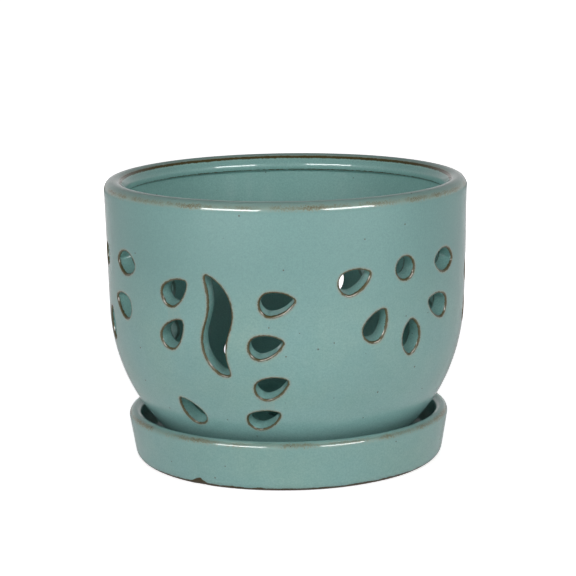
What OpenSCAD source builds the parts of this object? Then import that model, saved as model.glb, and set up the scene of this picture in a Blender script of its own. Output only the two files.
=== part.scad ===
// Slotted orchid pot standing in its saucer, both of glazed stoneware.
// Heights are measured up from the saucer's underside unless a line says otherwise.
// Angles around the wall start at the front, on -Y, and grow towards +X.

/* [Pot] */
// Greatest outer diameter, at the rim
pot_d = 165; // [150:0.5:180]
// Height from the foot to the top of the rim
pot_h = 122.5; // [112:0.5:135]
// Thickness of the wall
wall_t = 7; // [5:0.25:8.5]
// Outward lean of the upper wall, in degrees
wall_lean = 1.5; // [0:0.1:3]
// Radius of the curve that turns the wall in to the foot
bowl_r = 84; // [74:0.5:94]
// Height of that curve's centre above the foot
bowl_h = 66.5; // [60:0.5:72]
// Thickness of the rounded rim
rim_t = 9; // [8.6:0.1:11]
// Height of the thick collar inside the rim
collar_h = 7.2; // [6:0.1:12]
// Height of the slope under the collar
collar_slope = 1.2; // [0.5:0.1:3]

/* [Pot floor and foot] */
// Thickness of the floor
floor_t = 8; // [6:0.5:11]
// Radius of the corner between the floor and the wall inside
floor_corner_r = 6; // [3:0.25:9]
// Height that the foot ring lifts the floor
foot_h = 4; // [3:0.25:6]
// Width of the foot ring
foot_w = 8; // [6:0.5:12]
// Step from the bowl in to the foot ring
foot_step = 1; // [0.5:0.1:3]
// Radius of the foot ring's two lower edges
foot_edge_r = 1.5; // [0.5:0.1:2]
// Number of drain notches under the foot ring
notch_count = 3; // [2:1:6]
// Width of each drain notch
notch_w = 10; // [6:0.5:14]
// Height of each drain notch
notch_h = 2; // [1:0.25:2.75]
// Diameter of the drain hole
drain_d = 18; // [12:0.5:26]

/* [Saucer] */
// Gap between the pot's bowl and the saucer's rim
saucer_gap = 5.4; // [3:0.1:10]
// Height of the saucer
saucer_h = 22.9; // [20:0.1:28]
// Thickness of the wall and its rounded rim
saucer_wall_t = 5.8; // [4.5:0.1:7]
// Thickness of the floor that the pot stands on
saucer_floor_t = 6.5; // [5:0.25:8]
// How far the edge of the flat underside lies in from the rim
base_in = 7.5; // [5:0.25:10]
// Radius of the corner between the underside and the wall
base_corner_r = 5; // [3:0.25:7]
// Radius of the corner between the floor and the wall inside
dish_corner_r = 5; // [3:0.25:7]
// Width of the unglazed ring that the saucer stands on
base_ring_w = 9; // [6:0.5:14]
// Depth of the hollow inside that ring
base_hollow = 1.5; // [0.5:0.25:3]

/* [Cut-outs] */
// Number of times the stem and flower are cut around the wall
motif_count = 3; // [2:1:3]
// Height of the stems' middle above the foot
motif_h = 67.8; // [66:0.2:70]
// Length of a leaf or petal
leaf_l = 16; // [13:0.2:17]
// Width of a leaf or petal
leaf_w = 10.4; // [8:0.2:11.5]
// Radius of a leaf's round back
leaf_back_r = 5.6; // [5.5:0.1:7]
// Length of a petal that is pointed at both ends
almond_l = 16.4; // [13:0.2:17]
// Diameter of the round petal
round_d = 10.2; // [8:0.2:12]
// Width of the curved stem
stem_w = 11.2; // [9:0.2:12.5]
// Half of the width over the two ends of the stem
stem_end = 5.6; // [4.8:0.1:6.2]
// Depth of the stem's blunt lower end below its middle
stem_low = 21.5; // [20.5:0.25:23]
// Radius of the stem's outer curves
stem_outer_r = 18; // [17:0.25:19]
// Radius of the stem's inner curves
stem_inner_r = 24; // [20:0.5:28]
// Lean of the stem's middle from upright, in degrees
stem_lean = 29.5; // [24:0.5:34]
// Direction of the stem's upper bend, in degrees
stem_bend = 156; // [152:0.5:159]
// Rise of each cut through an upright wall, in degrees
cut_rise = 12; // [0:0.5:16]
// Share of the wall's own lean that the cuts follow
cut_follow = 0.4; // [0:0.05:1]
// Extra turn of the last flower around the wall, in degrees, cut by hand
late_flower = 3; // [0:0.5:5]
// Turn of the last stem and its leaves the other way, in degrees, cut by hand
early_stem = 1.6; // [0:0.1:3]

/* [Hidden] */

// Fineness of the turned forms and of the cut outlines
turned_fn = 144;
outline_fn = 64;
// Spare length that a cutting tool reaches past what it cuts
spare = 1;
// Depth by which two curves that run into each other overlap, so that they cross
touch = 0.01;

// Leaves beside each stem, and petals of each flower: degrees around the wall
// from the stem's middle, height above it and the direction of the tip
LEAVES = [
    [-16, 13, 35], [-17, -6, 48], [-13, -42, 124],
    [17, 11, 9], [13.5, -8, 14], [15, -27, 24], [11.5, -42.5, 24],
];
PETALS = [[41, 19, 21], [49, -2.5, 58], [78, 3, 161]];
ALMONDS = [[63.5, -8, 90], [79.5, 23, 175]];
ROUNDS = [[60.5, 23, 0]];

// The rim's round section, and where it runs into the outer wall
rim_r = rim_t / 2;
rim_x = pot_d / 2 - rim_r;
rim_z = pot_h - rim_r;
rim_run_x = rim_x + (rim_r - touch) * cos(wall_lean);
rim_run_z = rim_z - (rim_r - touch) * sin(wall_lean);

// The height where the bowl's curve runs into the upper wall, and its centre
bowl_run_z = bowl_h - bowl_r * sin(wall_lean);
bowl_x = wall_x(bowl_run_z) + touch - bowl_r * cos(wall_lean);

// The foot ring, the top of the floor and the corner around it
foot_r = bowl_reach(foot_h) - foot_step;
floor_top = foot_h + floor_t;
floor_corner_z = floor_top + floor_corner_r;
floor_corner_x = bowl_x + sqrt(pow(bowl_r - wall_t - floor_corner_r + touch, 2)
    - pow(bowl_h - floor_corner_z, 2));
floor_run_z = floor_corner_z - floor_corner_r * (bowl_h - floor_corner_z) / (bowl_r - wall_t - floor_corner_r);

// The saucer's rim, its corners and the lean of its wall
saucer_rim_r = saucer_wall_t / 2;
saucer_rim_z = saucer_h - saucer_rim_r;
saucer_rim_x = bowl_reach(saucer_rim_z - saucer_floor_t) + saucer_gap + saucer_rim_r;
saucer_r = saucer_rim_x + saucer_rim_r;
base_r = saucer_r - base_in;
corner_to_rim = norm([saucer_rim_x - base_r, saucer_rim_z - base_corner_r]);
saucer_lean = atan2(saucer_rim_x - base_r, saucer_rim_z - base_corner_r)
    + asin((saucer_rim_r - base_corner_r) / corner_to_rim);
saucer_out = [cos(saucer_lean), -sin(saucer_lean)];
dish_edge = [saucer_rim_x, saucer_rim_z] - saucer_rim_r * saucer_out;
dish_corner_z = saucer_floor_t + dish_corner_r;
dish_corner_x = dish_edge[0] - (dish_edge[1] - dish_corner_z) * tan(saucer_lean)
    - dish_corner_r / cos(saucer_lean);

// How far a cut reaches in and out from the wall's surface
cut_in = 2 * wall_t;
cut_out = wall_t + spare;

// Outer radius of the leaning upper wall at a height above the foot
function wall_x(z) = rim_run_x - (rim_run_z - z) * tan(wall_lean);
// Outer radius of the bowl at a height above the foot
function bowl_reach(z) = bowl_x + sqrt(bowl_r * bowl_r - (bowl_h - z) * (bowl_h - z));
// Outer radius, and the lean of the wall, at any height above the foot
function outer_r(z) = z < bowl_run_z ? bowl_reach(z) : wall_x(z);
function lean_at(z) = z < bowl_run_z ? asin((bowl_h - z) / bowl_r) : wall_lean;
// Radius of the arc that runs from a tip to the widest point of a leaf
function leaf_arc_r(reach, half_w) = (reach * reach + half_w * half_w) / (2 * half_w);

// Region inside the wall's outer surface, or inside the surface set in by a thickness
module wall_region(inset, bottom, top) {
    run_z = bowl_h - (bowl_r - inset) * sin(wall_lean);
    intersection() {
        union() {
            translate([bowl_x, bowl_h]) circle(r = bowl_r - inset, $fn = 2 * turned_fn);
            translate([0, run_z]) square([pot_d, pot_h]);
        }
        polygon([
            [0, bottom], [wall_x(bottom) - inset / cos(wall_lean), bottom],
            [wall_x(top) - inset / cos(wall_lean), top], [0, top],
        ]);
    }
}

// Half section of the pot's wall, rim, floor and foot ring
module pot_section() {
    collar_x = rim_x - rim_r;
    collar_z = pot_h - collar_h;
    difference() {
        wall_region(0, foot_h, rim_z);
        wall_region(wall_t, floor_run_z, collar_z - collar_slope);
        translate([floor_corner_x, floor_corner_z]) circle(r = floor_corner_r, $fn = outline_fn);
        translate([0, floor_top]) square([floor_corner_x, floor_corner_r]);
        polygon([
            [0, collar_z - collar_slope],
            [wall_x(collar_z - collar_slope) - wall_t / cos(wall_lean), collar_z - collar_slope],
            [collar_x, collar_z], [collar_x, pot_h], [0, pot_h],
        ]);
        translate([0, -spare]) square([drain_d / 2, floor_top + 2 * spare]);
    }
    translate([rim_x, rim_z]) circle(r = rim_r, $fn = outline_fn);
    for (side = [-1, 1]) translate([foot_r - foot_w / 2 + side * (foot_w / 2 - foot_edge_r), foot_edge_r])
        circle(r = foot_edge_r, $fn = outline_fn);
    translate([foot_r - foot_w + foot_edge_r, 0]) square([foot_w - 2 * foot_edge_r, foot_edge_r]);
    translate([foot_r - foot_w, foot_edge_r]) square([foot_w, foot_h + floor_t / 2 - foot_edge_r]);
}

// Pointed oval with a tip that lies reach to each side of its widest line
module pointed_oval(reach) {
    arc_r = leaf_arc_r(reach, leaf_w / 2);
    intersection() {
        translate([0, leaf_w / 2 - arc_r]) circle(r = arc_r, $fn = outline_fn);
        translate([0, arc_r - leaf_w / 2]) circle(r = arc_r, $fn = outline_fn);
    }
}

// Leaf or petal with one tip: a pointed oval whose other end is cut round
module leaf_outline() {
    back_x = leaf_back_r - leaf_w / 2;
    intersection() {
        pointed_oval(leaf_l - leaf_w / 2);
        union() {
            translate([back_x, 0]) circle(r = leaf_back_r, $fn = outline_fn);
            translate([back_x, -leaf_l]) square(2 * leaf_l);
        }
    }
}

// Curved stem: two like circles overlap in its middle, and each end bends away
module stem_curves() {
    middle = (stem_outer_r - stem_w / 2) * [-cos(stem_lean), sin(stem_lean)];
    bend_reach = stem_outer_r + stem_inner_r - touch;
    intersection() {
        translate(middle) circle(r = stem_outer_r, $fn = 2 * outline_fn);
        translate(-middle) circle(r = stem_outer_r, $fn = 2 * outline_fn);
    }
    for (turn = [0, 180]) rotate(turn) intersection() {
        difference() {
            translate(middle) circle(r = stem_outer_r, $fn = 2 * outline_fn);
            translate(bend_reach * [cos(stem_bend), sin(stem_bend)] - middle)
                circle(r = stem_inner_r, $fn = 2 * outline_fn);
        }
        translate(-middle) rotate(stem_bend) translate([0, -bend_reach]) square(bend_reach);
        translate([-stem_end, 0]) square(bend_reach);
    }
}

// Curved stem with its lower end cut blunt
module stem_outline() {
    intersection() {
        stem_curves();
        translate([-2 * stem_w, -stem_low]) square([4 * stem_w, 3 * stem_low]);
    }
}

// Cut through the wall with the outline given, at degrees around and height above the foot
module wall_cut(around, height, tip) {
    rotate(around) translate([0, -outer_r(height), height])
        rotate([90 + cut_rise + cut_follow * lean_at(height), 0, 0])
            translate([0, 0, -cut_in]) linear_extrude(cut_in + cut_out) rotate(tip) children();
}

// Cuts of one kind at each place in a list, turned around the wall from the front
module wall_cuts(places, around) {
    for (place = places)
        wall_cut(around + place[0], motif_h + place[1], place[2]) children();
}

// Every cut-out in the wall
module cut_outs() {
    for (motif = [0 : motif_count - 1]) {
        last = motif == motif_count - 1;
        around = motif * 360 / motif_count - (last ? early_stem : 0);
        flower = motif * 360 / motif_count + (last ? late_flower : 0);
        wall_cut(around, motif_h, 0) stem_outline();
        wall_cuts(LEAVES, around) leaf_outline();
        wall_cuts(PETALS, flower) leaf_outline();
        wall_cuts(ALMONDS, flower) pointed_oval(almond_l / 2);
        wall_cuts(ROUNDS, flower) circle(d = round_d, $fn = outline_fn);
    }
}

// Notches that let the drained water out under the foot ring
module foot_notches() {
    for (turn = [0 : notch_count - 1])
        rotate((turn + 0.5) * 360 / notch_count)
            translate([-notch_w / 2, -foot_r - spare, -spare])
                cube([notch_w, foot_w + 2 * spare, notch_h + spare]);
}

// Orchid pot with its cut-outs, standing on the saucer's floor
module pot() {
    color([0.53, 0.66, 0.64])
        translate([0, 0, saucer_floor_t]) difference() {
            rotate_extrude($fn = turned_fn) pot_section();
            cut_outs();
            foot_notches();
        }
}

// Half section of the saucer
module saucer_section() {
    corner = [base_r, base_corner_r];
    rim = [saucer_rim_x, saucer_rim_z];
    dish_corner = [dish_corner_x, dish_corner_z];
    difference() {
        union() {
            intersection() {
                translate(corner) circle(r = base_corner_r, $fn = outline_fn);
                square([saucer_r, base_corner_r]);
            }
            polygon([
                [0, 0], [base_r, 0], corner, corner + base_corner_r * saucer_out,
                rim + saucer_rim_r * saucer_out, dish_edge, [0, dish_edge[1]],
            ]);
        }
        translate(dish_corner) circle(r = dish_corner_r, $fn = outline_fn);
        polygon([
            [0, saucer_floor_t], [dish_corner_x, saucer_floor_t], dish_corner,
            dish_corner + dish_corner_r * saucer_out, dish_edge,
            [dish_edge[0], saucer_h], [0, saucer_h],
        ]);
        translate([0, -spare]) square([base_r - base_ring_w, base_hollow + spare]);
    }
    translate(rim) circle(r = saucer_rim_r, $fn = outline_fn);
}

// Saucer that the pot stands in
module saucer() {
    color([0.51, 0.64, 0.62]) rotate_extrude($fn = turned_fn) saucer_section();
}

saucer();
pot();
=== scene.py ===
"""Slotted orchid pot in its saucer: glazed stoneware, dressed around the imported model.

Sizes in the sections are millimetres in the pot's own frame, and each mesh is brought to metres at its end.
Angles around the axis start at the front, on -Y, and grow towards +X, as the cut-outs were laid out.
"""

import bisect
import math

import bmesh
import bpy
from mathutils import Matrix, Quaternion, Vector, noise
from mathutils.geometry import delaunay_2d_cdt, intersect_point_line
from mathutils.kdtree import KDTree


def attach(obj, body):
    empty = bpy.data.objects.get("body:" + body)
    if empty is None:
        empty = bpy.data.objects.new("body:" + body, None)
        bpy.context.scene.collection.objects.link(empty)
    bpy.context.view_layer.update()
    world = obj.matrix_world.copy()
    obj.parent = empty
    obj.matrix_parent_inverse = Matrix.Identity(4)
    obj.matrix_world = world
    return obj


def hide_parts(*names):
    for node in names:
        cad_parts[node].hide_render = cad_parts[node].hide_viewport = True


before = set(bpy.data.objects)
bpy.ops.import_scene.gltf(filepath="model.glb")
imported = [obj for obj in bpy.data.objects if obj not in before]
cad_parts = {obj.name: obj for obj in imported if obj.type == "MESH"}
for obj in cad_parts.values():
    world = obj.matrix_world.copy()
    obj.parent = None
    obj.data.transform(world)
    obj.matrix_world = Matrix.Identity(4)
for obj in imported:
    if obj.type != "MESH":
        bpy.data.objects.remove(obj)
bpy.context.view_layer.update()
MM = 0.001

# The saucer
# A shallow dish of stoneware, turned on a wheel, with a rounded rim and a flared wall. It is glazed
# all over but for the ring under it, which is wiped clean so that it doesn't stick to the kiln shelf.

saucer_d = 147
saucer_h = 22.9
saucer_wall_t = 5.8
saucer_floor_t = 6.5
base_r = 66
base_corner_r = 5
dish_corner_r = 5
base_ring_w = 9
base_hollow = 1.5
base_edge_r = 0.6
saucer_step = 2.5
saucer_crease = 40
saucer_swell = 0.18
saucer_swell_l = 30
saucer_rim_r = saucer_wall_t / 2
saucer_rim = Vector((saucer_d / 2 - saucer_rim_r, saucer_h - saucer_rim_r))
base_corner = Vector((base_r, base_corner_r))
corner_to_rim = saucer_rim - base_corner
saucer_lean = math.atan2(*corner_to_rim) + math.asin((saucer_rim_r - base_corner_r) / corner_to_rim.length)


def toward(degrees):
    """Unit vector in the half section, at degrees anticlockwise from straight outward."""
    return Vector((math.cos(math.radians(degrees)), math.sin(math.radians(degrees))))


def arc(centre, radius, start, end, step):
    """Points along an arc of the half section, about step apart."""
    count = max(2, round(abs(math.radians(end - start)) * radius / step))
    return [centre + radius * toward(start + (end - start) * i / count) for i in range(count + 1)]


def softened(points, step):
    """Half section through points (x, z) or (x, z, radius): corners with a radius are rounded, and runs
    longer than a step are divided."""
    path = []
    for i, point in enumerate(points):
        here = Vector(point[:2])
        if len(point) == 2:
            path.append(here)
            continue
        back = (Vector(points[i - 1][:2]) - here).normalized()
        ahead = (Vector(points[(i + 1) % len(points)][:2]) - here).normalized()
        half = back.angle(ahead) / 2
        centre = here + (back + ahead).normalized() * point[2] / math.sin(half)
        first = here + back * point[2] / math.tan(half) - centre
        last = here + ahead * point[2] / math.tan(half) - centre
        path += [centre + first.slerp(last, k / 4) * first.length for k in range(5)]
    divided = [path[0]]
    for point in path[1:]:
        count = max(1, math.ceil((point - divided[-1]).length / step))
        start = divided[-1].copy()
        divided += [start.lerp(point, (k + 1) / count) for k in range(count)]
    return divided


# Steps round the axis, millimetres of sheet for a radian of turn, how close points are welded together, and
# the radius of the middle, which no swell of the wall reaches
turn_columns = 240
sheet_scale = 80
weld = 0.002
still_r = 20


def sheet(mesh, section, seam):
    """Flat sheet of clay with a row for each point of the half section and a column for each step of the
    turn. Returns where each of its vertices goes when it is bent round, and the run of each row."""
    runs = [0]
    for one, two in zip(section, section[1:]):
        runs.append(runs[-1] + (two - one).length)
    made = bmesh.ops.create_grid(mesh, x_segments=turn_columns, y_segments=len(section) - 1, size=1)
    places = {}
    for vert in made["verts"]:
        column = round((vert.co.x + 1) / 2 * turn_columns)
        row = round((vert.co.y + 1) / 2 * (len(section) - 1))
        angle = math.radians(seam + 360 * column / turn_columns)
        x, z = section[row]
        vert.co = (sheet_scale * angle, runs[row], 0)
        places[vert] = Vector((x * math.sin(angle), -x * math.cos(angle), z))
    return places, runs


def bent_round(mesh, places):
    """Bends the sheet round the axis and joins its ends."""
    for vert, place in places.items():
        vert.co = place
    bmesh.ops.remove_doubles(mesh, verts=mesh.verts, dist=weld)


def unevenness(mesh, depth, length):
    """Slow swell of a hand-turned wall, more in than out from the axis, so that no size grows."""
    for vert in mesh.verts:
        swell = depth * (noise.noise(vert.co / length) - 0.3)
        reach = math.hypot(vert.co.x, vert.co.y)
        if reach > still_r:
            vert.co.x *= 1 + swell / reach
            vert.co.y *= 1 + swell / reach


def measured(mesh, name, measure):
    """Stores a number of millimetres at each vertex for the glaze to read."""
    layer = mesh.verts.layers.float.new(name)
    for vert in mesh.verts:
        vert[layer] = measure(vert.co)


def piece(mesh, name, crease):
    """Object from a mesh in millimetres, smooth but for edges sharper than the crease angle."""
    bmesh.ops.recalc_face_normals(mesh, faces=mesh.faces)
    bmesh.ops.scale(mesh, vec=(MM, MM, MM), verts=mesh.verts)
    data = bpy.data.meshes.new(name)
    mesh.to_mesh(data)
    mesh.free()
    data.shade_smooth()
    data.set_sharp_from_angle(angle=math.radians(crease))
    made = bpy.data.objects.new(name, data)
    bpy.context.scene.collection.objects.link(made)
    return made


saucer_wall_tilt = math.degrees(saucer_lean)
dish_edge = saucer_rim - saucer_rim_r * toward(-saucer_wall_tilt)
dish_corner_z = saucer_floor_t + dish_corner_r
dish_corner = Vector((
    dish_edge.x - (dish_edge.y - dish_corner_z) * math.tan(saucer_lean) - dish_corner_r / math.cos(saucer_lean),
    dish_corner_z,
))
saucer_section = softened(
    [
        (0, base_hollow),
        (base_r - base_ring_w, base_hollow, base_edge_r),
        (base_r - base_ring_w, 0, base_edge_r),
        *[tuple(p) for p in arc(base_corner, base_corner_r, -90, -saucer_wall_tilt, 0.7)],
        *[tuple(p) for p in arc(saucer_rim, saucer_rim_r, -saucer_wall_tilt, 180 - saucer_wall_tilt, 0.45)],
        *[tuple(p) for p in arc(dish_corner, dish_corner_r, -saucer_wall_tilt, -90, 0.8)],
        (0, saucer_floor_t),
    ],
    saucer_step,
)
saucer_break = 52
saucer_glaze_ends = 1.9
chip_turn = -12.49
chip_w = 9
chip_h = 2.4
chip_depth = 0.5

# What the glaze reads where there is no edge near, in millimetres
no_edge = 80


def reach_of(co):
    """Distance from the axis and height, as a point of the half section."""
    return Vector((math.hypot(co.x, co.y), co.z))


def saucer_shoulder(co):
    """Distance round the rim from the line on its outer shoulder where the glaze breaks."""
    out = reach_of(co) - saucer_rim
    if out.length < 1e-6:
        return no_edge
    return abs(math.atan2(out.y, out.x) - math.radians(90 - saucer_break)) * out.length


def chip(co):
    """How much of the small chip in the foot's edge there is at a place: 1 in the middle, 0 round it."""
    if co.z > 2 * chip_h:
        return 0
    away = (math.atan2(co.x, -co.y) - math.radians(chip_turn)) * math.hypot(co.x, co.y)
    return max(0, 1 - 2 * abs(away) / chip_w)


def saucer_glazed(co):
    """Height over the end of the glaze, which the chip lifts."""
    if co.z > saucer_floor_t - 1:
        return no_edge
    return co.z - saucer_glaze_ends - chip_h * chip(co)


saucer_mesh = bmesh.new()
saucer_places, _ = sheet(saucer_mesh, saucer_section, 0)
bent_round(saucer_mesh, saucer_places)
unevenness(saucer_mesh, saucer_swell, saucer_swell_l)
for vert in saucer_mesh.verts:
    share = chip(vert.co) * chip_depth / base_r
    if vert.co.length > base_r - base_ring_w / 2:
        vert.co.x *= 1 - share
        vert.co.y *= 1 - share
measured(saucer_mesh, "edge_mm", lambda co: no_edge)
measured(saucer_mesh, "inside", lambda co: 0)
measured(saucer_mesh, "crest_mm", lambda co: no_edge)
measured(saucer_mesh, "thick", lambda co: 0)
measured(saucer_mesh, "shoulder_mm", saucer_shoulder)
measured(saucer_mesh, "glazed_mm", saucer_glazed)
saucer = piece(saucer_mesh, "saucer_dish", saucer_crease)

# Blue-green stoneware glaze. Both pieces were dipped in one bowl of it and fired together. It lies thick and
# glossy on the walls, and runs thin and brown wherever the clay turns a corner. The clay has specks of iron.


def paint(code):
    """Linear colour from an sRGB hex value."""
    parts = [int(code[i:i + 2], 16) / 255 for i in (0, 2, 4)]
    return (*[c / 12.92 if c <= 0.04045 else ((c + 0.055) / 1.055) ** 2.4 for c in parts], 1)


def add(material, kind, *inputs, output=None, **settings):
    """Adds a node. The inputs that it shows are filled in order and its settings by name, each with a value
    or with another node's output. Gives the output that is named, or the first that the node shows."""
    node = material.node_tree.nodes.new("ShaderNode" + kind)
    fills = []
    for name, value in settings.items():
        if hasattr(node, name):
            setattr(node, name, value)
        else:
            fills.append((node.inputs[name.replace("_", " ")], value))
    fills += zip([socket for socket in node.inputs if socket.enabled], inputs)
    for socket, value in fills:
        if isinstance(value, bpy.types.NodeSocket):
            material.node_tree.links.new(socket, value)
        else:
            socket.default_value = value
    if output:
        return node.outputs[output]
    return next((socket for socket in node.outputs if socket.enabled), None)


# Colours of the fired glaze where it lies thick or thin, and of the clay that shows through it. Some carry
# painted
# shade or light: the top, the low wall, the inner wall, the cut faces and the rim's crest
AQUA = paint("86afac")
AQUA_THIN = paint("8bb1a9")
AQUA_DEEP = paint("76a4a0")
AQUA_TOP_PAINTED_SHADE = paint("7aa5a1")
AQUA_LOW_PAINTED_LIGHT = paint("90bab7")
AQUA_INSIDE_PAINTED_SHADE = paint("7aaea9")
AQUA_COLLAR_PAINTED_LIGHT = paint("8bb9b3")
AQUA_CUT_PAINTED_LIGHT = paint("93c4be")
AQUA_GRAIN = paint("5f8b87")
CREST_THIN_AND_SHEEN = paint("a2b5aa")
RIM_HAZE = paint("84836a")
RIM_CORE = paint("605a3c")
BREAK = paint("483e10")
BREAK_HAZE = paint("a0907a")
SPECK = paint("4c4536")
BARE_CLAY = paint("473b24")

# Millimetres across the drifts, pools, patches, grains and dimples in it, and between its specks
drift_size = 26
pool_size = 9
patch_size = 16
grit_size = 0.7
waver_size = 1.6
ragged_size = 5
dimple_size = 7
dimple_depth = 0.12
speck_gap = 6
speck_r = 0.45

glaze = bpy.data.materials.new("aqua_stoneware_glaze")
glaze.use_nodes = True
glaze.node_tree.nodes.clear()
place = add(glaze, "TexCoord", output="Object")
edge = add(glaze, "Attribute", attribute_name="edge_mm", output="Fac")
shoulder = add(glaze, "Attribute", attribute_name="shoulder_mm", output="Fac")
crest = add(glaze, "Attribute", attribute_name="crest_mm", output="Fac")
glazed = add(glaze, "Attribute", attribute_name="glazed_mm", output="Fac")
thick = add(glaze, "Attribute", attribute_name="thick", output="Fac")
inside = add(glaze, "Attribute", attribute_name="inside", output="Fac")

# A range that is full up to its lower end, nothing past its upper end, and smooth between
falling = {"interpolation_type": "SMOOTHSTEP", "To_Min": 1.0, "To_Max": 0.0}

# It drifts between thin and thick and pools in small clouds. It is painted darker near the top, a painted
# shade, and paler low down, a painted light in the gap over the saucer
drift = add(glaze, "TexNoise", place, Scale=1 / (drift_size * MM), Detail=3.0)
drift = add(glaze, "MapRange", drift, From_Min=0.35, From_Max=0.65)
colour = add(glaze, "Mix", drift, AQUA, AQUA_THIN, data_type="RGBA")
pools = add(glaze, "TexNoise", place, Scale=1 / (pool_size * MM), Detail=4.0, Roughness=0.6)
pools = add(glaze, "MapRange", pools, From_Min=0.42, From_Max=0.72, To_Max=0.35)
colour = add(glaze, "Mix", pools, colour, AQUA_DEEP, data_type="RGBA")
# Painted shade: darker towards the top
colour = add(glaze, "Mix", thick, colour, AQUA_TOP_PAINTED_SHADE, data_type="RGBA")
# Painted light: the lower bowl, in the gap over the saucer's rim, is paler
low = add(glaze, "MapRange", thick, From_Min=-1.7, From_Max=-1.0, **falling)
colour = add(glaze, "Mix", low, colour, AQUA_LOW_PAINTED_LIGHT, data_type="RGBA")
# The inner wall is painted in its own tone: darker and more saturated down in the bowl, a painted shade with
# the tint of light bounced between its walls, and paler up at the collar, a painted light
inner_painted_tone = add(glaze, "Mix", thick, AQUA_INSIDE_PAINTED_SHADE, AQUA_COLLAR_PAINTED_LIGHT, data_type="RGBA")
colour = add(glaze, "Mix", inside, colour, inner_painted_tone, data_type="RGBA")

# Halfway through the wall, on the knife's cut faces, it is painted paler: painted light on the cut faces
outside = add(glaze, "Math", 1.0, inside, operation="SUBTRACT")
cut_face = add(glaze, "Math", inside, outside, operation="MULTIPLY")
cut_face = add(glaze, "Math", cut_face, 4.0, operation="MULTIPLY")
colour = add(glaze, "Mix", cut_face, colour, AQUA_CUT_PAINTED_LIGHT, data_type="RGBA")

# Fine grain all over, drawn coarser than the real one so that it shows
grit = add(glaze, "TexNoise", place, Scale=1 / (grit_size * MM), Detail=2.0, Roughness=0.7)
grain = add(glaze, "MapRange", grit, From_Min=0.35, From_Max=0.65, To_Max=0.36)
colour = add(glaze, "Mix", grain, colour, AQUA_GRAIN, data_type="RGBA")
grit = add(glaze, "Math", grit, 0.5, operation="SUBTRACT")

# The crest of the rim, where the glaze ran off and lies thin, and where it is also painted paler as a painted
# sheen of the white room seen at a grazing angle
crest_thin_and_sheen = add(glaze, "MapRange", crest, From_Min=0.0, From_Max=2.0, **falling)
crest_thin_and_sheen = add(glaze, "Math", crest_thin_and_sheen, 0.35, operation="MULTIPLY")
colour = add(glaze, "Mix", crest_thin_and_sheen, colour, CREST_THIN_AND_SHEEN, data_type="RGBA")

# Haze around each break line, grainy like the clay that shows through
haze = add(glaze, "Math", grit, 1.6, edge, operation="MULTIPLY_ADD")
haze = add(glaze, "MapRange", haze, From_Min=0.5, From_Max=2.0, **falling)
on_face = add(glaze, "MapRange", inside, From_Min=0.02, From_Max=0.12, **falling)
haze = add(glaze, "Math", haze, on_face, operation="MULTIPLY")
haze = add(glaze, "Math", haze, 0.55, operation="MULTIPLY")
colour = add(glaze, "Mix", haze, colour, BREAK_HAZE, data_type="RGBA")

# A broader band of it along the rim's shoulder, darker in patches
patch = add(glaze, "TexNoise", place, Scale=1 / (patch_size * MM), Detail=3.0, Roughness=0.6)
patch = add(glaze, "MapRange", patch, From_Min=0.4, From_Max=0.62)
shoulder = add(glaze, "Math", grit, 5.0, shoulder, operation="MULTIPLY_ADD")
band = add(glaze, "MapRange", shoulder, From_Min=0.0, From_Max=2.1, **falling)
band_share = add(glaze, "Math", patch, 0.5, 0.36, operation="MULTIPLY_ADD")
band = add(glaze, "Math", band, band_share, operation="MULTIPLY")
colour = add(glaze, "Mix", band, colour, RIM_HAZE, data_type="RGBA")
core = add(glaze, "MapRange", shoulder, From_Min=0.0, From_Max=0.9, **falling)
core_share = add(glaze, "Math", patch, 0.6, operation="MULTIPLY")
core = add(glaze, "Math", core, core_share, operation="MULTIPLY")
colour = add(glaze, "Mix", core, colour, RIM_CORE, data_type="RGBA")

# The break line itself, wavering in width, and fainter on the bowl's inner wall
waver = add(glaze, "TexNoise", place, Scale=1 / (waver_size * MM), Detail=4.0, Roughness=0.75)
waver = add(glaze, "Math", waver, 0.5, operation="SUBTRACT")
line = add(glaze, "Math", waver, 1.3, edge, operation="MULTIPLY_ADD")
line = add(glaze, "MapRange", line, From_Min=0.7, From_Max=1.06, **falling)
bowl_wall = add(glaze, "MapRange", inside, From_Min=0.6, From_Max=0.95, interpolation_type="SMOOTHSTEP")
below_collar = add(glaze, "MapRange", thick, From_Min=0.8, From_Max=1.0, **falling)
bowl_wall = add(glaze, "Math", bowl_wall, below_collar, operation="MULTIPLY")
faint = add(glaze, "Math", bowl_wall, -0.5, 0.97, operation="MULTIPLY_ADD")
line = add(glaze, "Math", line, faint, operation="MULTIPLY")
colour = add(glaze, "Mix", line, colour, BREAK, data_type="RGBA")

# Specks of iron: one in each cell of a pattern, of any size up to the largest, so that most hardly show
speck_far = add(glaze, "TexVoronoi", place, Scale=1 / (speck_gap * MM), Randomness=1.0)
speck_share = add(glaze, "SeparateColor", speck_far.node.outputs["Color"])
speck_size = add(glaze, "Math", speck_share, speck_r / speck_gap, operation="MULTIPLY")
speck = add(glaze, "Math", speck_far, speck_size, operation="LESS_THAN")
speck = add(glaze, "Math", speck, 0.7, operation="MULTIPLY")
colour = add(glaze, "Mix", speck, colour, SPECK, data_type="RGBA")

# Bare clay under the foot, past the glaze's uneven end
ragged = add(glaze, "TexNoise", place, Scale=1 / (ragged_size * MM), Detail=5.0, Roughness=0.7)
ragged = add(glaze, "Math", ragged, 0.5, operation="SUBTRACT")
bare = add(glaze, "Math", ragged, 2.6, glazed, operation="MULTIPLY_ADD")
bare = add(glaze, "MapRange", bare, From_Min=-0.1, From_Max=0.12, **falling)
colour = add(glaze, "Mix", bare, colour, BARE_CLAY, data_type="RGBA")

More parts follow.
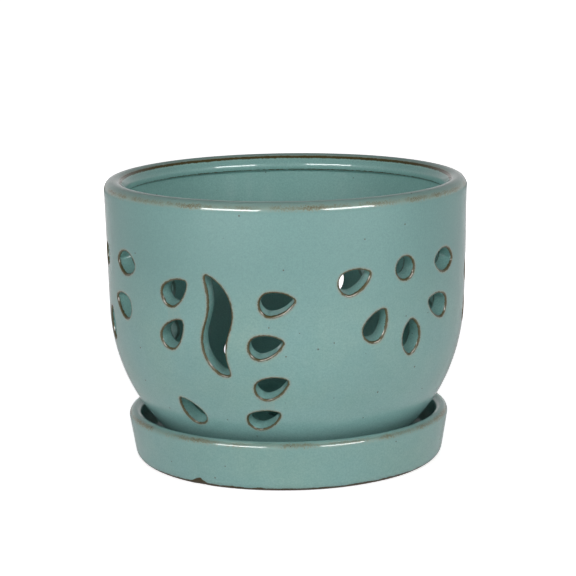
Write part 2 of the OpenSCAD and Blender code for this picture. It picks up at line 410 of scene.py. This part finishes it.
# A clear glassy coat over a softer body. It is duller on the bowl's inner wall, and the bare clay has none
coat = add(glaze, "Math", bowl_wall, -0.8, 1.0, operation="MULTIPLY_ADD")
coat = add(glaze, "Math", coat, bare, operation="SUBTRACT")
dimples = add(glaze, "TexNoise", place, Scale=1 / (dimple_size * MM), Detail=2.0)
relief = add(glaze, "Bump", Strength=0.35, Distance=dimple_depth * MM, Height=dimples)
surface = add(
    glaze, "BsdfPrincipled", Base_Color=colour, IOR=1.4, Roughness=0.45, Coat_Weight=coat, Coat_Roughness=0.06,
    Coat_IOR=1.6, Normal=relief)
add(glaze, "OutputMaterial", surface)
saucer.data.materials.append(glaze)
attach(saucer, "saucer")
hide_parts("saucer")

# The pot
# A round pot of the same stoneware, turned with a rounded rim and a thick collar inside it. Stems and
# leaves were cut through its wall while the clay was firm, and their edges were wiped soft before glazing.

pot_d = 165
pot_h = 122.5
wall_t = 7
wall_tilt = 1.5
wall_lean = math.radians(wall_tilt)
bowl_r = 84
bowl_h = 66.5
rim_r = 4.5
collar_r = 3.5
collar_in = 1
collar_drop = 5.7
collar_from = 152
collar_to = 208
collar_slope = 1
floor_t = 8
foot_h = 4
foot_w = 8
foot_step = 1
notch_count = 3
notch_w = 10
notch_h = 2
drain_r = 9
stand = saucer_floor_t
rim = Vector((pot_d / 2 - rim_r, stand + pot_h - rim_r))
rim_run = rim + rim_r * toward(-wall_tilt)
bowl_run_z = stand + bowl_h - bowl_r * math.sin(wall_lean)
bowl = Vector((
    rim_run.x - (rim_run.y - bowl_run_z) * math.tan(wall_lean) - bowl_r * math.cos(wall_lean),
    stand + bowl_h,
))
floor_under = stand + foot_h
floor_top = floor_under + floor_t


def wall_reach(z, inset):
    """Distance from the axis to the wall's outer surface, or to the surface that lies inset inside it."""
    if z < bowl_run_z + inset * math.sin(wall_lean):
        return bowl.x + math.sqrt((bowl_r - inset) ** 2 - (bowl.y - z) ** 2)
    return rim_run.x - (rim_run.y - z) * math.tan(wall_lean) - inset / math.cos(wall_lean)


def bowl_angle(z, inset):
    """Direction from the bowl's centre, in the half section, of the surface that lies inset in it."""
    return -math.degrees(math.asin((bowl.y - z) / (bowl_r - inset)))


foot_out = wall_reach(floor_under, 0) - foot_step
foot_in = foot_out - foot_w
collar = Vector((rim.x - rim_r - collar_in + collar_r, stand + pot_h - collar_drop))
collar_low = collar + collar_r * toward(collar_to)
inner_corner_break = 47
outer_corner_break = 62
floor_corner_r = 6
floor_corner_z = floor_top + floor_corner_r
floor_corner_start = bowl_angle(floor_corner_z, wall_t + floor_corner_r)
floor_corner = Vector((
    bowl.x + (bowl_r - wall_t - floor_corner_r) * math.cos(math.radians(floor_corner_start)), floor_corner_z))
wall_step = 2
rim_step = 0.5
step_clear = 0.8
inner_break = rim + rim_r * toward(90 + inner_corner_break)
pot_section = softened(
    [
        (drain_r, floor_under, 1),
        (foot_in, floor_under, 0.8),
        (foot_in, stand, 1),
        (foot_out, stand, 1.2),
        (foot_out, floor_under, 0.4),
        (wall_reach(floor_under, 0), floor_under, 0.4),
        *[tuple(p) for p in arc(bowl, bowl_r, bowl_angle(floor_under + step_clear, 0), -wall_tilt, wall_step)],
        *[tuple(p) for p in arc(rim, rim_r, -wall_tilt, 90 + inner_corner_break, rim_step)],
        *[tuple(p) for p in arc(collar, collar_r, collar_from, collar_to, rim_step)],
        (wall_reach(collar_low.y - collar_slope, wall_t), collar_low.y - collar_slope, 0.6),
        *[tuple(p) for p in arc(bowl, bowl_r - wall_t, -wall_tilt, floor_corner_start, wall_step)],
        *[tuple(p) for p in arc(floor_corner, floor_corner_r, floor_corner_start, -90, 1)],
        (drain_r, floor_top, 1.2),
        (drain_r, floor_under + 1),
    ],
    wall_step,
)
pot_section.append(pot_section[0].copy())

# The pattern is cut three times round the wall. The last stem stands a few degrees early and its flower
# late, as a hand cuts them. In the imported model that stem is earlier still, because the rounded edges here
# leave less of the gap that daylight comes through.
motif_count = 3
motif_z = stand + 67.8
late_flower = 3
early_stem = 1.1
cut_rise = 12
cut_follow = 0.4

# How its cut-outs lie: degrees around from the stem's middle, millimetres above it, and the tip's direction
LEAVES = [
    (-16, 13, 35), (-17, -6, 48), (-13, -42, 124),
    (17, 11, 9), (13.5, -8, 14), (15, -27, 24), (11.5, -42.5, 24),
]
PETALS = [(41, 19, 21), (49, -2.5, 58), (78, 3, 161)]
ALMONDS = [(63.5, -8, 90), (79.5, 23, 175)]
ROUNDS = [(60.5, 23, 0)]
leaf_l = 16
leaf_w = 10.4
leaf_back_r = 5.6
almond_l = 16.4
round_d = 10.2
stem_w = 11.2
stem_end = 5.6
stem_low = 21.5
stem_outer_r = 18
stem_inner_r = 24
stem_lean = 29.5
stem_bend = 156
outline_step = 0.75
sharp_turn = 25
mitre_limit = 0.7


def evenly(outline):
    """The same closed outline with its points about one step apart, keeping its sharp corners."""
    corners = []
    for i, point in enumerate(outline):
        one = point - outline[i - 1]
        two = outline[(i + 1) % len(outline)] - point
        if one.length > 1e-6 and two.length > 1e-6 and abs(one.angle_signed(two)) > math.radians(sharp_turn):
            corners.append(i)
    start = corners[0] if corners else 0
    ring = outline[start:] + outline[:start]
    stops = sorted((i - start) % len(outline) for i in corners) or [0]
    even = []
    for first, last in zip(stops, stops[1:] + [len(ring)]):
        run = ring[first:last] + [ring[last % len(ring)]]
        lengths = [0]
        for one, two in zip(run, run[1:]):
            lengths.append(lengths[-1] + (two - one).length)
        count = max(3, round(lengths[-1] / outline_step))
        place = 0
        for k in range(count):
            want = lengths[-1] * k / count
            while lengths[place + 1] < want:
                place += 1
            share = (want - lengths[place]) / (lengths[place + 1] - lengths[place])
            even.append(run[place].lerp(run[place + 1], share))
    return even


def ray_to_circle(direction, centre, radius):
    """How far from the middle of an outline a circle round it lies, in a direction."""
    along = centre.dot(direction)
    return along + math.sqrt(radius**2 - centre.length_squared + along**2)


def leaf_outline(reach, back_r):
    """Pointed oval whose tips lie reach to each side of its widest line. With a back radius, the end
    away from the tip is cut round."""
    arc_r = (reach**2 + (leaf_w / 2) ** 2) / leaf_w
    sides = [Vector((0, side * (leaf_w / 2 - arc_r))) for side in (1, -1)]
    back = Vector((back_r - leaf_w / 2, 0))
    outline = []
    for degree in range(360):
        way = toward(degree)
        far = min(ray_to_circle(way, side, arc_r) for side in sides)
        if back_r and (way.x < 0 or far * way.x < back.x):
            far = min(far, ray_to_circle(way, back, back_r))
        outline.append(way * far)
    return evenly(outline)


def round_outline(diameter):
    """Round hole."""
    return evenly([toward(degree) * diameter / 2 for degree in range(0, 360, 5)])


def flat_arc(centre, start, end):
    """Points along an arc from one point to another, the short way round."""
    one, two = start - centre, end - centre
    count = 24
    return [centre + one.slerp(two, k / count) * one.length for k in range(count)]


def stem_outline():
    """Curved stem: two like circles overlap in its middle, and each end bends away."""
    middle = (stem_outer_r - stem_w / 2) * Vector((
        -math.cos(math.radians(stem_lean)), math.sin(math.radians(stem_lean))))
    bend = -middle + (stem_outer_r + stem_inner_r) * toward(stem_bend)
    run_on = -middle + stem_outer_r * toward(stem_bend)
    low_corner = Vector((-stem_end, bend.y + math.sqrt(stem_inner_r**2 - (stem_end + bend.x) ** 2)))
    high_corner = Vector((-stem_end, middle.y + math.sqrt(stem_outer_r**2 - (stem_end + middle.x) ** 2)))
    half = flat_arc(bend, run_on, low_corner) + [low_corner] + flat_arc(middle, high_corner, -run_on)
    return evenly([Vector((p.x, max(p.y, -stem_low))) for p in [-p for p in half] + half])


def grown(outline, margin):
    """Outline moved outward by a margin."""
    area = sum(a.x * b.y - a.y * b.x for a, b in zip(outline, outline[1:] + outline[:1]))
    side = math.copysign(1, area)
    moved = []
    for i, point in enumerate(outline):
        back = (point - outline[i - 1]).normalized()
        ahead = (outline[(i + 1) % len(outline)] - point).normalized()
        out = (back + ahead).normalized()
        out = Vector((out.y, -out.x)) * side
        mitre = max(mitre_limit, math.cos(back.angle(ahead) / 2))
        moved.append(point + out * margin / mitre)
    return moved


class Cut:
    """One cut through the wall: its outline, and the way the knife went in."""

    def __init__(self, outline, around, height, tip):
        self.outline = [Matrix.Rotation(math.radians(tip), 2) @ p for p in outline]
        self.around = math.radians(around)
        self.height = motif_z + height
        lean = wall_lean if self.height > bowl_run_z else math.asin((bowl.y - self.height) / bowl_r)
        self.rise = math.radians(cut_rise) + cut_follow * lean

    def on_wall(self, margin, inset):
        """The outline, grown by a margin, where it meets the outer wall or the surface inset in it."""
        up = Vector((0, -math.sin(self.rise), math.cos(self.rise)))
        way = Vector((0, -math.cos(self.rise), -math.sin(self.rise)))
        origin = Vector((0, -wall_reach(self.height, 0), self.height))
        found = []
        for p in grown(self.outline, margin) if margin else self.outline:
            start = origin + Vector((p.x, 0, 0)) + up * p.y
            depth = -inset
            for _ in range(12):
                here = start + way * depth
                depth -= (math.hypot(here.x, here.y) - wall_reach(here.z, inset)) * 0.95
            here = start + way * depth
            turn = math.atan2(here.x, -here.y) + self.around
            reach = math.hypot(here.x, here.y)
            found.append((turn, Vector((reach * math.sin(turn), -reach * math.cos(turn), here.z))))
        return found


def worn(outline, passes):
    """Outline with its corners wiped round by a wet sponge."""
    for _ in range(passes):
        ahead = outline[1:] + outline[:1]
        outline = [(outline[i - 1] + 2 * point + ahead[i]) / 4 for i, point in enumerate(outline)]
    return outline


# The clay's edges are rounded, so each outline is drawn in far enough for the round to end where the knife
# cut
rounding_in = -0.35
leaf = grown(worn(leaf_outline(leaf_l - leaf_w / 2, leaf_back_r), 4), rounding_in)
almond = grown(worn(leaf_outline(almond_l / 2, 0), 3), rounding_in)
disc = grown(round_outline(round_d), rounding_in)
stem = grown(worn(stem_outline(), 14), rounding_in)
cuts = []
for motif in range(motif_count):
    last = motif == motif_count - 1
    around = 360 / motif_count * motif - early_stem * last
    flower = 360 / motif_count * motif + late_flower * last
    cuts.append(Cut(stem, around, 0, 0))
    for outline, places, turn in (
        (leaf, LEAVES, around), (leaf, PETALS, flower), (almond, ALMONDS, flower), (disc, ROUNDS, flower),
    ):
        cuts += [Cut(outline, turn + place[0], place[1], place[2]) for place in places]

seam = -27
ring_margin = 1.6
clear_margin = 3
cut_edge_r = 0.9


def holds(outline, x, y):
    """Whether a point of the sheet lies inside a closed outline."""
    inside = False
    for (x1, y1), (x2, y2) in zip(outline, outline[1:] + outline[:1]):
        if (y1 > y) != (y2 > y) and x < x1 + (y - y1) / (y2 - y1) * (x2 - x1):
            inside = not inside
    return inside


pot_mesh = bmesh.new()
cut_id = pot_mesh.verts.layers.int.new("cut_id")
pot_places, runs = sheet(pot_mesh, pot_section, seam)
top_row = max(range(len(pot_section)), key=lambda i: pot_section[i].y)
low_row = next(i for i, p in enumerate(pot_section) if p.x > wall_reach(floor_under, 0) and p.y > floor_under)
deep_row = max(
    i for i, p in enumerate(pot_section) if i > top_row and p.y > floor_top + 1 and p.x > drain_r * 2)


def run_at(z, inner):
    """Where along the sheet the wall has a height, on its outer or its inner surface."""
    rows = range(top_row, deep_row) if inner else range(low_row, top_row)
    for i in rows:
        low, high = sorted((pot_section[i].y, pot_section[i + 1].y))
        if low <= z <= high and high > low:
            share = (z - pot_section[i].y) / (pot_section[i + 1].y - pot_section[i].y)
            return runs[i] + share * (runs[i + 1] - runs[i])
    raise ValueError(z)


def flat(found, inner):
    """Points of the wall laid out on the sheet."""
    turns = [(turn - math.radians(seam)) % (2 * math.pi) + math.radians(seam) for turn, _ in found]
    return [(sheet_scale * turn, run_at(place.z, inner)) for turn, (_, place) in zip(turns, found)]


def cell_at(x, y):
    """Column and row of the sheet's cell that holds a point."""
    turn = (x / sheet_scale - math.radians(seam)) / (2 * math.pi)
    return math.floor(turn * turn_columns), bisect.bisect(runs, y)


grid_verts = list(pot_mesh.verts)
doomed = set()
for cut in cuts:
    for inner in (False, True):
        fence = flat(cut.on_wall(clear_margin, wall_t * inner), inner)
        left, right = min(p[0] for p in fence), max(p[0] for p in fence)
        low, high = min(p[1] for p in fence), max(p[1] for p in fence)
        for vert in grid_verts:
            x, y, _ = vert.co
            if left < x < right and low < y < high and vert not in doomed and holds(fence, x, y):
                doomed.add(vert)
nudge = 0.05
gone_cells = {
    cell_at(vert.co.x + dx, vert.co.y + dy)
    for vert in doomed for dx in (-nudge, nudge) for dy in (-nudge, nudge)
}
bmesh.ops.delete(pot_mesh, geom=list(doomed), context="VERTS")
bmesh.ops.delete(pot_mesh, geom=[e for e in pot_mesh.edges if e.is_wire], context="EDGES")
bmesh.ops.delete(pot_mesh, geom=[v for v in pot_mesh.verts if not v.link_faces], context="VERTS")
outer_edge = max(v.co.x for v in pot_mesh.verts), max(v.co.y for v in pot_mesh.verts)
inner_edge = min(v.co.x for v in pot_mesh.verts), min(v.co.y for v in pot_mesh.verts)


def on_border(edge):
    """Whether an edge of the sheet runs along the border of the whole sheet."""
    return any(
        all(abs(v.co[axis] - limit[axis]) < 1e-4 for v in edge.verts)
        for axis in (0, 1) for limit in (outer_edge, inner_edge)
    )


fence_edges = [e for e in pot_mesh.edges if e.is_boundary and not on_border(e)]
pot_places = {vert: place for vert, place in pot_places.items() if vert.is_valid}
rings = []
loop_of = {}
loops = {}
for number, cut in enumerate(cuts):
    for inner in (False, True):
        found = cut.on_wall(0, wall_t * inner)
        margin = cut.on_wall(ring_margin, wall_t * inner)
        ring = [pot_mesh.verts.new((x, y, 0)) for x, y in flat(found, inner)]
        edges = [pot_mesh.edges.new((a, b)) for a, b in zip(ring, ring[1:] + ring[:1])]
        for vert, (_, place) in zip(ring, found):
            pot_places[vert] = place
            vert[cut_id] = 2 * number + inner + 1
        order = {vert: i for i, vert in enumerate(ring)}
        made = bmesh.ops.extrude_edge_only(pot_mesh, edges=edges)["geom"]
        laid = flat(margin, inner)
        for vert in made:
            if isinstance(vert, bmesh.types.BMVert):
                base = next(e.other_vert(vert) for e in vert.link_edges if e.other_vert(vert) in order)
                vert.co = (*laid[order[base]], 0)
                pot_places[vert] = margin[order[base]][1]
                vert[cut_id] = 0
                loop_of[vert] = (number, inner)
        loops[number, inner] = laid
        fence_edges += [
            e for e in made if isinstance(e, bmesh.types.BMEdge) and all(v not in order for v in e.verts)]
        rings.append(ring)
corners = list(dict.fromkeys(v for e in fence_edges for v in e.verts))
number_of = {vert: i for i, vert in enumerate(corners)}
_, _, triangles, origins, _, _ = delaunay_2d_cdt(
    [v.co.xy for v in corners], [[number_of[v] for v in e.verts] for e in fence_edges], [], 1, 1e-5)
for triangle in triangles:
    trio = [corners[origins[i][0]] for i in triangle]
    x, y = sum((v.co.xy for v in trio), Vector((0, 0))) / 3
    shared = {loop_of.get(v) for v in trio}
    in_loop = len(shared) == 1 and None not in shared and holds(loops[shared.pop()], x, y)
    if cell_at(x, y) in gone_cells and not in_loop:
        pot_mesh.faces.new(trio)
for vert, place in pot_places.items():
    vert.co = place

# The knife's cut faces join each outline on the outer wall to the same one on the inner wall
across = []
for outer, inner in zip(rings[::2], rings[1::2]):
    edges = [pot_mesh.edges.get((a, b)) for a, b in zip(outer, outer[1:] + outer[:1])]
    order = {vert: i for i, vert in enumerate(outer)}
    made = bmesh.ops.extrude_edge_only(pot_mesh, edges=edges)["geom"]
    for vert in made:
        if isinstance(vert, bmesh.types.BMVert):
            edge = next(e for e in vert.link_edges if e.other_vert(vert) in order)
            base = edge.other_vert(vert)
            vert.co = inner[order[base]].co
            vert[cut_id] = inner[order[base]][cut_id]
            across.append(edge)
edge_lines = [[v.co.copy() for v in ring] for ring in rings]
for part in bmesh.ops.subdivide_edges(pot_mesh, edges=across, cuts=3, use_grid_fill=True)["geom_inner"]:
    if isinstance(part, bmesh.types.BMVert):
        part[cut_id] = 0
bmesh.ops.remove_doubles(pot_mesh, verts=pot_mesh.verts, dist=weld)
bmesh.ops.recalc_face_normals(pot_mesh, faces=pot_mesh.faces)
bmesh.ops.bevel(
    pot_mesh,
    geom=[e for e in pot_mesh.edges if e.verts[0][cut_id] and e.verts[0][cut_id] == e.verts[1][cut_id]],
    offset=cut_edge_r, offset_type="OFFSET", segments=4, profile=0.5, affect="EDGES", material=-1,
    clamp_overlap=True,
)

# Notches wiped through the foot ring let the drained water out
notch_turn = math.degrees(notch_w / 2 / (foot_out - foot_w / 2))
notch_side = 1.5
for vert in pot_mesh.verts:
    height = vert.co.z - stand
    reach = math.hypot(vert.co.x, vert.co.y)
    if height < foot_h and foot_in - 1 < reach < foot_out + foot_step:
        turn = math.degrees(math.atan2(vert.co.x, -vert.co.y)) % (360 / notch_count) - 180 / notch_count
        share = min(1, max(0, (notch_turn + notch_side / 2 - abs(turn)) / notch_side))
        vert.co.z += share * notch_h * (1 - height / foot_h)
pot_swell = 0.22
pot_swell_l = 38
unevenness(pot_mesh, pot_swell, pot_swell_l)

# How much finer the glaze breaks on the rim and the collar than round a cut-out, how near an outline has to
# be for its stretches to count and not only its points, and between which heights the height ramp runs from 0
# to 1:
# the glaze is painted darker above it, a painted shade, and paler well below it, a painted light
rim_break_finer = 0.15
collar_break_finer = 0.5
outline_near = 4
thickens_z = 72
thickest_z = 100

nearest_edge = KDTree(sum(len(line) for line in edge_lines))
edge_points = []
for line in edge_lines:
    for i, point in enumerate(line):
        nearest_edge.insert(point, len(edge_points))
        edge_points.append((line[i - 1], point, line[(i + 1) % len(line)]))
nearest_edge.balance()


def to_segment(co, one, two):
    """Distance from a point to a straight stretch of an outline."""
    spot, share = intersect_point_line(co, one, two)
    return (co - one.lerp(two, min(1, max(0, share)))).length


def pot_edge(co):
    """Distance to the nearest line where the glaze breaks sharply: a cut-out's edge, the rim's inner
    corner or the collar's lower edge."""
    _, index, far = nearest_edge.find(co)
    if far < outline_near:
        before, here, after = edge_points[index]
        far = min(to_segment(co, before, here), to_segment(co, here, after))
    spot = reach_of(co)
    rim_far = (spot - inner_break).length + rim_break_finer
    return min(far, rim_far, (spot - collar_low).length + collar_break_finer)


def pot_shoulder(co):
    """Distance round the rim from the line on its outer shoulder where the glaze breaks."""
    out = reach_of(co) - rim
    if not 0.5 * rim_r < out.length < 1.5 * rim_r:
        return no_edge
    return abs(math.atan2(out.y, out.x) - math.radians(90 - outer_corner_break)) * rim_r


def pot_crest(co):
    """Distance round the rim past the top stretch between its two break lines, where the glaze is thin."""
    out = reach_of(co) - rim
    if not 0.5 * rim_r < out.length < 1.5 * rim_r:
        return no_edge
    angle = math.degrees(math.atan2(out.x, out.y))
    return math.radians(max(0, angle - outer_corner_break, -angle - inner_corner_break)) * rim_r


def pot_inside(co):
    """How far through the wall a place lies, from 0 on the outside and the rim to 1 on the inside."""
    through = (wall_reach(min(co.z, rim.y), 0) - reach_of(co).x) / wall_t
    return min(1, max(0, through)) * min(1, max(0, inner_break.y - co.z))


measured(pot_mesh, "edge_mm", pot_edge)
measured(pot_mesh, "inside", pot_inside)
measured(pot_mesh, "crest_mm", pot_crest)
# A ramp of height, 0 at thickens_z and 1 at thickest_z and below 0 further down, for the glaze's painted shade
# and light
measured(pot_mesh, "thick", lambda co: min(1, (co.z - thickens_z) / (thickest_z - thickens_z)))
measured(pot_mesh, "shoulder_mm", pot_shoulder)
measured(pot_mesh, "glazed_mm", lambda co: co.z - stand - foot_h / 2)
pot_crease = 50
pot = piece(pot_mesh, "pierced_pot", pot_crease)
pot.data.materials.append(glaze)
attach(pot, "pot")
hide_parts("pot")

# The floor and the white room
# A plain pale table that runs on into white all round, so that the object stands free. The camera sees both
# as white with the object's shadow, and the object itself gets only a little of their light.

floor_r = 4
photo_turn = math.radians(21.8)
far_side = (-math.sin(photo_turn), math.cos(photo_turn), 0)
WHITE = paint("ffffff")
PALE = paint("e7e7e7")

floor_mesh = bmesh.new()
bmesh.ops.create_circle(floor_mesh, cap_ends=True, segments=96, radius=floor_r)
floor_data = bpy.data.meshes.new("floor")
floor_mesh.to_mesh(floor_data)
floor_mesh.free()
floor = bpy.data.objects.new("floor", floor_data)
bpy.context.scene.collection.objects.link(floor)

# Matt painted board, without a shine. Its reflection in the glaze is brighter behind the pot, which gives
# the pale line down each side
matt_white = bpy.data.materials.new("matt_white_table")
matt_white.use_nodes = True
matt_white.node_tree.nodes.clear()
place = add(matt_white, "TexCoord", output="Object")
table = add(matt_white, "BsdfDiffuse", PALE)
spread = add(matt_white, "VectorMath", place, operation="LENGTH")
white_out = add(matt_white, "MapRange", spread, From_Min=0.15, From_Max=0.6, To_Min=0.8)
seen = add(matt_white, "LightPath", output="Is Camera Ray")
bright = add(matt_white, "MapRange", seen, To_Min=0.12, To_Max=white_out)
behind = add(matt_white, "VectorMath", place, far_side, operation="DOT_PRODUCT")
behind = add(matt_white, "MapRange", behind, From_Min=0.0, From_Max=0.25, To_Max=0.05)
mirrored = add(matt_white, "LightPath", output="Is Glossy Ray")
bright = add(matt_white, "Math", behind, mirrored, bright, operation="MULTIPLY_ADD")
lift = add(matt_white, "Emission", WHITE, bright)
both = add(matt_white, "AddShader", table, lift)
add(matt_white, "OutputMaterial", both)
floor_data.materials.append(matt_white)

# White walls. The glaze sees them pale near the table and dim overhead
world = bpy.data.worlds.new("white_room")
bpy.context.scene.world = world
world.use_nodes = True
world.node_tree.nodes.clear()
way = add(world, "TexCoord", output="Generated")
up = add(world, "SeparateXYZ", way, output="Z")
level = add(world, "MapRange", up, From_Min=0.1, From_Max=0.6, To_Min=0.55, To_Max=0.06)
behind = add(world, "VectorMath", way, far_side, operation="DOT_PRODUCT")
behind = add(world, "MapRange", behind, From_Min=0.2, From_Max=0.8, To_Max=0.04)
mirrored = add(world, "LightPath", output="Is Glossy Ray")
level = add(world, "Math", behind, mirrored, level, operation="MULTIPLY_ADD")
room = add(world, "Background", WHITE, level)
blank = add(world, "Background", WHITE, 1.0)
seen = add(world, "LightPath", output="Is Camera Ray")
both = add(world, "MixShader", seen, room, blank)
add(world, "OutputWorld", both)

# The camera
# It stands where the photograph's did: twelve rim radii away, a little above the rim and looking down.

photo_side = 576
photo_focal_px = 2198.8
photo_axis_px = 286.7
camera_away = 990
camera_height = 268.65
camera_pitch = 10.96
camera_roll = 0.8
sensor = 36


def around_axis(degrees, away, height):
    """Place at degrees around from the camera's side, in metres."""
    turn = photo_turn + math.radians(degrees)
    return Vector((away * math.sin(turn), -away * math.cos(turn), height)) * MM


camera_data = bpy.data.cameras.new("photo_camera")
camera_data.sensor_width = sensor
camera_data.lens = photo_focal_px * sensor / photo_side
camera_data.shift_x = (photo_side / 2 - photo_axis_px) / photo_side
camera_data.clip_end = 20
camera = bpy.data.objects.new("photo_camera", camera_data)
bpy.context.scene.collection.objects.link(camera)
camera.location = around_axis(0, camera_away, camera_height)
look = Vector((-math.sin(photo_turn), math.cos(photo_turn), -math.tan(math.radians(camera_pitch)))).normalized()
camera.rotation_mode = "QUATERNION"
camera.rotation_quaternion = Quaternion(look, math.radians(camera_roll)) @ look.to_track_quat("-Z", "Y")
bpy.context.scene.camera = camera

# The lights
# Two soft boxes stand left and right of the camera, low enough to leave the pot's inside dark, and one low
# behind it. The highlights on the rims come from two tall windows in front, which light nothing else.

lamps_away = 900
lamps_aim = Vector((0, 0, 70)) * MM

for name, turn, width, tall, height, power in (
    ("left_softbox", -35, 0.6, 0.26, 390, 3.2),
    ("right_softbox", 40, 0.55, 0.26, 390, 3.0),
    ("left_window", -35, 0.6, 0.24, 500, 6),
    ("right_window", 40, 0.55, 0.24, 500, 5.5),
    ("back_softbox", 180, 0.25, 0.4, 150, 3.8),
):
    lamp_data = bpy.data.lights.new(name, "AREA")
    lamp_data.shape = "RECTANGLE"
    lamp_data.size = width
    lamp_data.size_y = tall
    lamp_data.energy = power
    lamp = bpy.data.objects.new(name, lamp_data)
    bpy.context.scene.collection.objects.link(lamp)
    lamp.visible_glossy = name.endswith("window")
    lamp.visible_diffuse = name.endswith("softbox")
    lamp.location = around_axis(turn, lamps_away, height)
    lamp.rotation_mode = "QUATERNION"
    lamp.rotation_quaternion = (lamps_aim - lamp.location).to_track_quat("-Z", "Y")

bpy.context.scene.view_settings.view_transform = "Standard"
